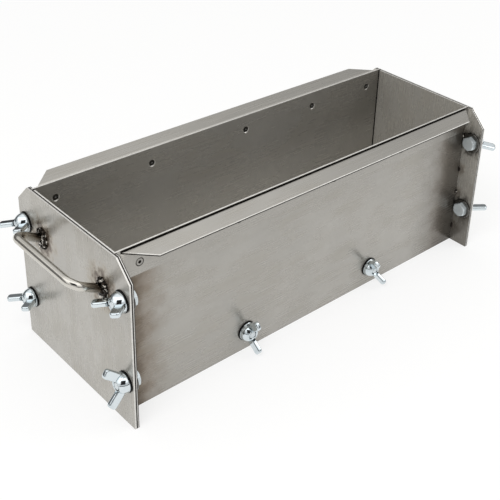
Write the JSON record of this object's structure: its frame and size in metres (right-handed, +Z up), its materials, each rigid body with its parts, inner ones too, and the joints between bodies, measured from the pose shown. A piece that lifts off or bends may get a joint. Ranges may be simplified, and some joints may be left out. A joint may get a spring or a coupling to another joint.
{
  "type": "concrete beam mould",
  "caption": "Open-topped steel trough for casting a square concrete test beam, with flanged sheet walls, a folded base and handled end plates that wing nuts hold on.",
  "frame": {"origin": "on the floor, under the middle of the mould", "axes": "+X along the beam, +Z up, -Y towards the near wall"},
  "size_m": [0.6188, 0.2284, 0.2],
  "materials": {
    "tray_steel": "mill finish sheet",
    "wall_steel": "mill finish sheet, faintly mottled",
    "angle_steel": "mill finish sheet",
    "ear_steel": "mill finish sheet",
    "rivet_metal": "dark, dull",
    "weld_metal": "scaled weld bead",
    "end_steel": "mill finish sheet, heat tint by the welds",
    "liner_steel": "mill finish sheet",
    "handle_steel": "drawn bar",
    "bolt_zinc": "bright zinc plated",
    "washer_metal": "dark edge",
    "nut_zinc": "bright zinc plated"
  },
  "bodies": {
    "frame": {"base_tray": "tray_steel", "side_wall_near": "wall_steel", "side_wall_far": "wall_steel", "top_angle_near": "angle_steel", "top_angle_far": "angle_steel", "rivets_near": "rivet_metal", "rivets_far": "rivet_metal", "ear_near_left": "ear_steel", "ear_near_right": "ear_steel", "ear_far_left": "ear_steel", "ear_far_right": "ear_steel", "ear_welds_near": "weld_metal", "ear_welds_far": "weld_metal", "end_bolts_left": "bolt_zinc", "end_bolts_right": "bolt_zinc", "side_bolts_near": "bolt_zinc", "side_bolts_far": "bolt_zinc", "head_washers_left": "washer_metal", "head_washers_right": "washer_metal", "head_washers_near": "washer_metal", "head_washers_far": "washer_metal"},
    "left_end": {"end_plate_left": "end_steel", "end_liner_left": "liner_steel", "handle_left": "handle_steel", "handle_welds_left": "weld_metal"},
    "right_end": {"end_plate_right": "end_steel", "end_liner_right": "liner_steel", "handle_right": "handle_steel", "handle_welds_right": "weld_metal"},
    "washer_left_near_top": {"washer_left_near_top": "washer_metal"},
    "wing_nut_left_near_top": {"wing_nut_left_near_top": "nut_zinc"},
    "washer_left_near_low": {"washer_left_near_low": "washer_metal"},
    "wing_nut_left_near_low": {"wing_nut_left_near_low": "nut_zinc"},
    "washer_left_far_top": {"washer_left_far_top": "washer_metal"},
    "wing_nut_left_far_top": {"wing_nut_left_far_top": "nut_zinc"},
    "washer_left_far_low": {"washer_left_far_low": "washer_metal"},
    "wing_nut_left_far_low": {"wing_nut_left_far_low": "nut_zinc"},
    "washer_right_near_top": {"washer_right_near_top": "washer_metal"},
    "wing_nut_right_near_top": {"wing_nut_right_near_top": "nut_zinc"},
    "washer_right_near_low": {"washer_right_near_low": "washer_metal"},
    "wing_nut_right_near_low": {"wing_nut_right_near_low": "nut_zinc"},
    "washer_right_far_top": {"washer_right_far_top": "washer_metal"},
    "wing_nut_right_far_top": {"wing_nut_right_far_top": "nut_zinc"},
    "washer_right_far_low": {"washer_right_far_low": "washer_metal"},
    "wing_nut_right_far_low": {"wing_nut_right_far_low": "nut_zinc"},
    "washer_near_left": {"washer_near_left": "washer_metal"},
    "wing_nut_near_left": {"wing_nut_near_left": "nut_zinc"},
    "washer_near_right": {"washer_near_right": "washer_metal"},
    "wing_nut_near_right": {"wing_nut_near_right": "nut_zinc"},
    "washer_far_left": {"washer_far_left": "washer_metal"},
    "wing_nut_far_left": {"wing_nut_far_left": "nut_zinc"},
    "washer_far_right": {"washer_far_right": "washer_metal"},
    "wing_nut_far_right": {"wing_nut_far_right": "nut_zinc"}
  },
  "joints": [
    {"name": "draw_off_left_end", "type": "slide", "parent": "frame", "child": "left_end", "axis": [-1, 0, 0], "range_m": [0, 0.045]},
    {"name": "draw_off_right_end", "type": "slide", "parent": "frame", "child": "right_end", "axis": [1, 0, 0], "range_m": [0, 0.045]},
    {"name": "back_off_left_near_top", "type": "slide", "parent": "left_end", "child": "washer_left_near_top", "axis": [-1, 0, 0], "range_m": [0, 0.0091]},
    {"name": "unscrew_left_near_top", "type": "hinge", "parent": "washer_left_near_top", "child": "wing_nut_left_near_top", "pos_m": [-0.2732, -0.0917, 0.1535], "axis": [-1, 0, 0], "range_deg": [0, 2160]},
    {"name": "back_off_left_near_low", "type": "slide", "parent": "left_end", "child": "washer_left_near_low", "axis": [-1, 0, 0], "range_m": [0, 0.0091]},
    {"name": "unscrew_left_near_low", "type": "hinge", "parent": "washer_left_near_low", "child": "wing_nut_left_near_low", "pos_m": [-0.2732, -0.0917, 0.0545], "axis": [-1, 0, 0], "range_deg": [0, 2160]},
    {"name": "back_off_left_far_top", "type": "slide", "parent": "left_end", "child": "washer_left_far_top", "axis": [-1, 0, 0], "range_m": [0, 0.0091]},
    {"name": "unscrew_left_far_top", "type": "hinge", "parent": "washer_left_far_top", "child": "wing_nut_left_far_top", "pos_m": [-0.2732, 0.0917, 0.1535], "axis": [-1, 0, 0], "range_deg": [0, 2160]},
    {"name": "back_off_left_far_low", "type": "slide", "parent": "left_end", "child": "washer_left_far_low", "axis": [-1, 0, 0], "range_m": [0, 0.0091]},
    {"name": "unscrew_left_far_low", "type": "hinge", "parent": "washer_left_far_low", "child": "wing_nut_left_far_low", "pos_m": [-0.2732, 0.0917, 0.0545], "axis": [-1, 0, 0], "range_deg": [0, 2160]},
    {"name": "back_off_right_near_top", "type": "slide", "parent": "right_end", "child": "washer_right_near_top", "axis": [1, 0, 0], "range_m": [0, 0.0091]},
    {"name": "unscrew_right_near_top", "type": "hinge", "parent": "washer_right_near_top", "child": "wing_nut_right_near_top", "pos_m": [0.2732, -0.0917, 0.1535], "axis": [1, 0, 0], "range_deg": [0, 2160]},
    {"name": "back_off_right_near_low", "type": "slide", "parent": "right_end", "child": "washer_right_near_low", "axis": [1, 0, 0], "range_m": [0, 0.0091]},
    {"name": "unscrew_right_near_low", "type": "hinge", "parent": "washer_right_near_low", "child": "wing_nut_right_near_low", "pos_m": [0.2732, -0.0917, 0.0545], "axis": [1, 0, 0], "range_deg": [0, 2160]},
    {"name": "back_off_right_far_top", "type": "slide", "parent": "right_end", "child": "washer_right_far_top", "axis": [1, 0, 0], "range_m": [0, 0.0091]},
    {"name": "unscrew_right_far_top", "type": "hinge", "parent": "washer_right_far_top", "child": "wing_nut_right_far_top", "pos_m": [0.2732, 0.0917, 0.1535], "axis": [1, 0, 0], "range_deg": [0, 2160]},
    {"name": "back_off_right_far_low", "type": "slide", "parent": "right_end", "child": "washer_right_far_low", "axis": [1, 0, 0], "range_m": [0, 0.0091]},
    {"name": "unscrew_right_far_low", "type": "hinge", "parent": "washer_right_far_low", "child": "wing_nut_right_far_low", "pos_m": [0.2732, 0.0917, 0.0545], "axis": [1, 0, 0], "range_deg": [0, 2160]},
    {"name": "back_off_near_left", "type": "slide", "parent": "frame", "child": "washer_near_left", "axis": [0, -1, 0], "range_m": [0, 0.0091]},
    {"name": "unscrew_near_left", "type": "hinge", "parent": "washer_near_left", "child": "wing_nut_near_left", "pos_m": [-0.101, -0.0797, 0.025], "axis": [0, -1, 0], "range_deg": [0, 2160]},
    {"name": "back_off_near_right", "type": "slide", "parent": "frame", "child": "washer_near_right", "axis": [0, -1, 0], "range_m": [0, 0.0091]},
    {"name": "unscrew_near_right", "type": "hinge", "parent": "washer_near_right", "child": "wing_nut_near_right", "pos_m": [0.101, -0.0797, 0.025], "axis": [0, -1, 0], "range_deg": [0, 2160]},
    {"name": "back_off_far_left", "type": "slide", "parent": "frame", "child": "washer_far_left", "axis": [0, 1, 0], "range_m": [0, 0.0091]},
    {"name": "unscrew_far_left", "type": "hinge", "parent": "washer_far_left", "child": "wing_nut_far_left", "pos_m": [-0.101, 0.0797, 0.025], "axis": [0, 1, 0], "range_deg": [0, 2160]},
    {"name": "back_off_far_right", "type": "slide", "parent": "frame", "child": "washer_far_right", "axis": [0, 1, 0], "range_m": [0, 0.0091]},
    {"name": "unscrew_far_right", "type": "hinge", "parent": "washer_far_right", "child": "wing_nut_far_right", "pos_m": [0.101, 0.0797, 0.025], "axis": [0, 1, 0], "range_deg": [0, 2160]}
  ],
  "couplings": [
    {"joint": "back_off_left_near_top", "follows": "unscrew_left_near_top", "m_per_rad": 0.00023873},
    {"joint": "back_off_left_near_low", "follows": "unscrew_left_near_low", "m_per_rad": 0.00023873},
    {"joint": "back_off_left_far_top", "follows": "unscrew_left_far_top", "m_per_rad": 0.00023873},
    {"joint": "back_off_left_far_low", "follows": "unscrew_left_far_low", "m_per_rad": 0.00023873},
    {"joint": "back_off_right_near_top", "follows": "unscrew_right_near_top", "m_per_rad": 0.00023873},
    {"joint": "back_off_right_near_low", "follows": "unscrew_right_near_low", "m_per_rad": 0.00023873},
    {"joint": "back_off_right_far_top", "follows": "unscrew_right_far_top", "m_per_rad": 0.00023873},
    {"joint": "back_off_right_far_low", "follows": "unscrew_right_far_low", "m_per_rad": 0.00023873},
    {"joint": "back_off_near_left", "follows": "unscrew_near_left", "m_per_rad": 0.00023873},
    {"joint": "back_off_near_right", "follows": "unscrew_near_right", "m_per_rad": 0.00023873},
    {"joint": "back_off_far_left", "follows": "unscrew_far_left", "m_per_rad": 0.00023873},
    {"joint": "back_off_far_right", "follows": "unscrew_far_right", "m_per_rad": 0.00023873}
  ]
}
